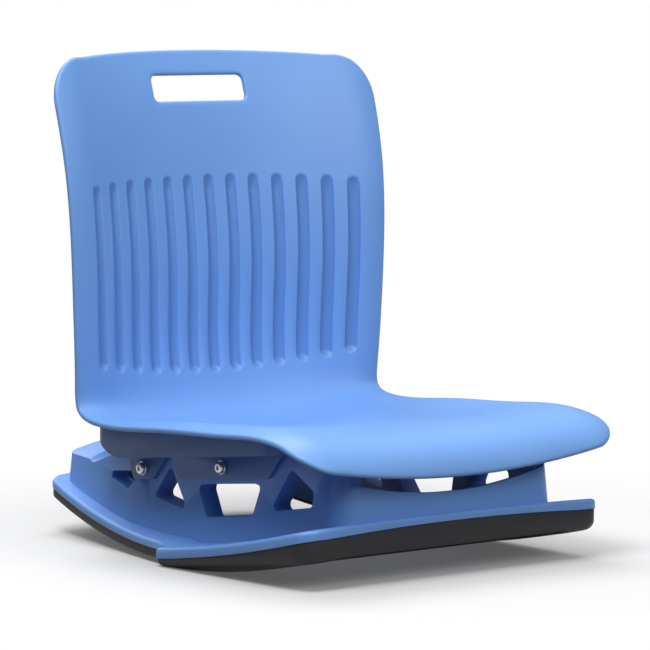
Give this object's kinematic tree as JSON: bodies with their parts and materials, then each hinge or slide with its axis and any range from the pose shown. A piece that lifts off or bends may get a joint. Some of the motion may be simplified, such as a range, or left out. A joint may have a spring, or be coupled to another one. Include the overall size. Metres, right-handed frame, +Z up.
{
  "type": "floor rocking chair",
  "caption": "Low floor rocking chair: moulded blue seat shell with a fluted back and a hand hole, on a truss-sided rocker base with black rubber treads.",
  "frame": {"origin": "middle of the chair's outline from above, on the floor", "axes": "+Z up, -Y the way the sitter faces, +X to the sitter's left"},
  "size_m": [0.47, 0.6062, 0.571],
  "materials": {
    "blue_plastic": "fine moulded texture, soft sheen",
    "black_rubber": "matt black",
    "steel": "plain zinc-coated steel"
  },
  "bodies": {
    "root": {"seat_shell": "blue_plastic", "seat_carrier": "blue_plastic", "rocker_base": "blue_plastic", "front_tread": "black_rubber", "rear_tread": "black_rubber", "carrier_bolts": "steel", "bolt_washers": "steel", "lock_nuts": "steel", "shell_screws": "steel", "shell_screw_washers": "steel", "tread_screws": "steel"}
  },
  "joints": []
}
